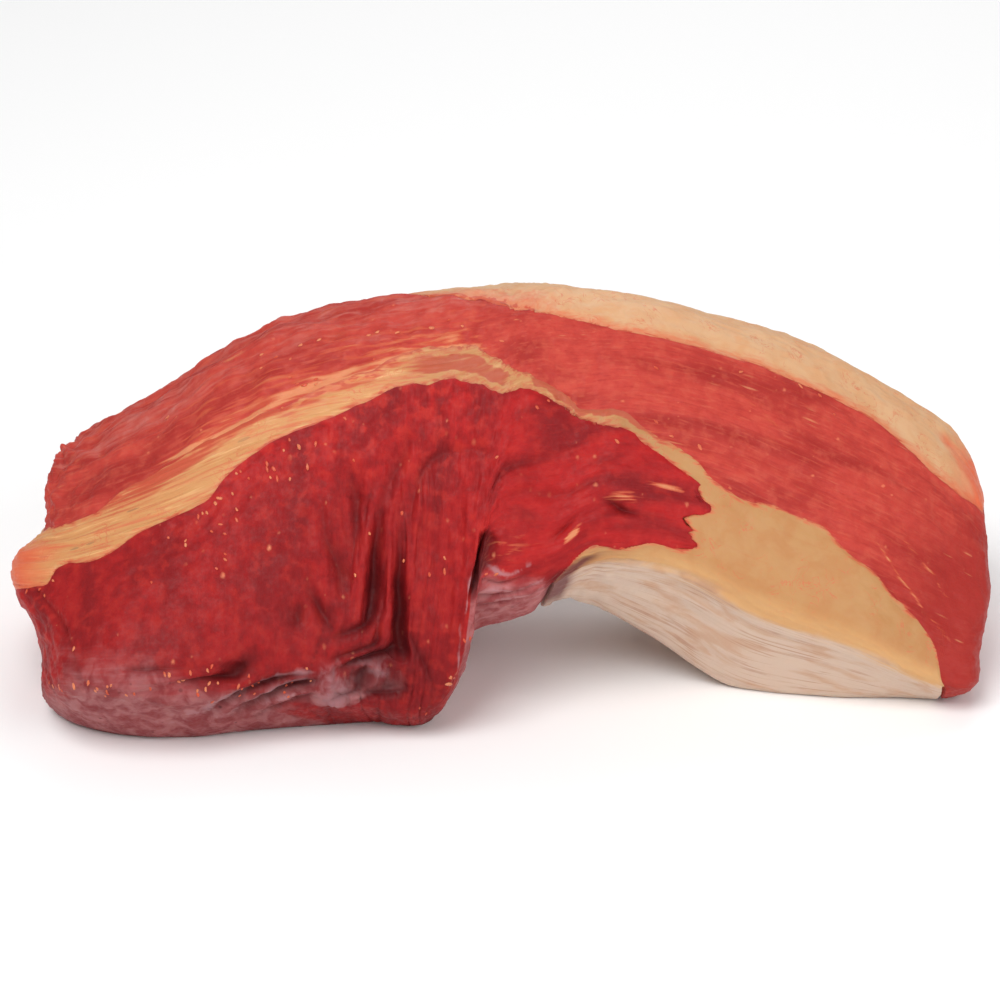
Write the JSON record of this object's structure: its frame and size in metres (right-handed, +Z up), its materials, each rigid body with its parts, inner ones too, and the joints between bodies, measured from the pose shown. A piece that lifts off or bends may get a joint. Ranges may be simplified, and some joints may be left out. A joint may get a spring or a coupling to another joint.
{
  "type": "raw beef brisket joint",
  "caption": "Raw boneless beef brisket joint, cut across through lean, fat seam and fat cap, and bent into an arch that stands on its ends.",
  "frame": {"origin": "middle of the joint's bounding box, on the surface that it stands on", "axes": "+X along the arch towards the foot with the fat wedge, +Z up, -Y out of the big cut face in front"},
  "size_m": [0.2836, 0.1268, 0.1119],
  "materials": {
    "fat_cap": "raw beef fat, cream, moist satin",
    "upper_lean": "raw beef with fine marbling, moist satin",
    "fat_seam": "raw beef fat, yellow cream, moist satin",
    "lower_lean": "raw beef, deep red, folded, moist satin with silverskin below"
  },
  "bodies": {
    "root": {"fat_cap": "fat_cap", "upper_lean": "upper_lean", "fat_seam": "fat_seam", "lower_lean": "lower_lean"}
  },
  "joints": []
}
